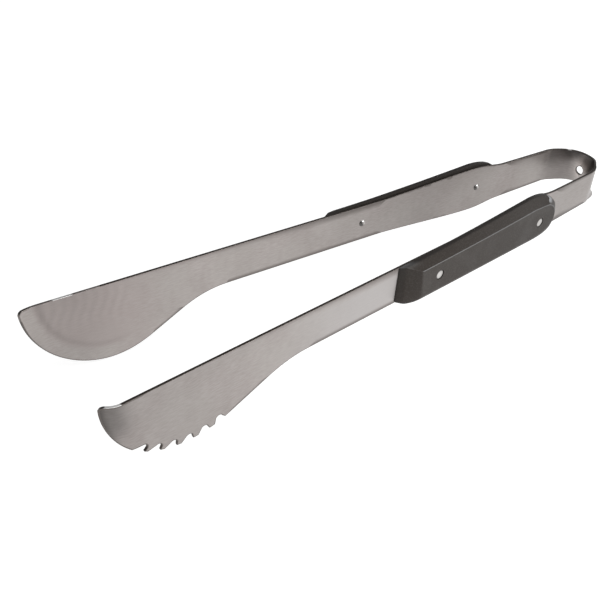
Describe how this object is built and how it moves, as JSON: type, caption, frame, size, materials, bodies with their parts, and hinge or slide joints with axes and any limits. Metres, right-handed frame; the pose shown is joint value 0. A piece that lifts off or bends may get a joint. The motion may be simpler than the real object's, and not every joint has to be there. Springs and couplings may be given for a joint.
{
  "type": "spring loaded kitchen tongs",
  "caption": "Long steel tongs bent from a strip with a round spring bow and hang hole, a plain blade, a serrated blade, and moulded handle scales riveted to the outer faces.",
  "frame": {"origin": "centre of the hang hole, in the middle of the strip wall at the apex of the spring bow", "axes": "+X points away from the blades through the hang hole, +Z runs across the strip away from the blade bellies, the plain arm lies on +Y"},
  "size_m": [0.4108, 0.0914, 0.0553],
  "materials": {
    "strip_steel": "fine lengthwise brushing, satin",
    "handle_plastic": "fine matt moulded texture",
    "rivet_steel": "ground flat, satin"
  },
  "bodies": {
    "spring_bow": {"spring_bow": "strip_steel"},
    "near_arm": {"near_arm": "strip_steel", "near_handle_scale": "handle_plastic", "near_rear_rivet": "rivet_steel", "near_front_rivet": "rivet_steel"},
    "far_arm": {"far_arm": "strip_steel", "far_handle_scale": "handle_plastic", "far_rear_rivet": "rivet_steel", "far_front_rivet": "rivet_steel"}
  },
  "joints": [
    {"name": "near_arm_squeeze", "type": "hinge", "parent": "spring_bow", "child": "near_arm", "pos_m": [-0.00664, -0.01223, 0], "axis": [0, 0, -1], "range_deg": [0, 5.7], "stiffness_Nm_per_rad": 18},
    {"name": "far_arm_squeeze", "type": "hinge", "parent": "spring_bow", "child": "far_arm", "pos_m": [-0.00664, 0.01223, 0], "axis": [0, 0, 1], "range_deg": [0, 5.7], "stiffness_Nm_per_rad": 18}
  ],
  "couplings": [
    {"joint": "far_arm_squeeze", "follows": "near_arm_squeeze", "ratio": 1}
  ]
}
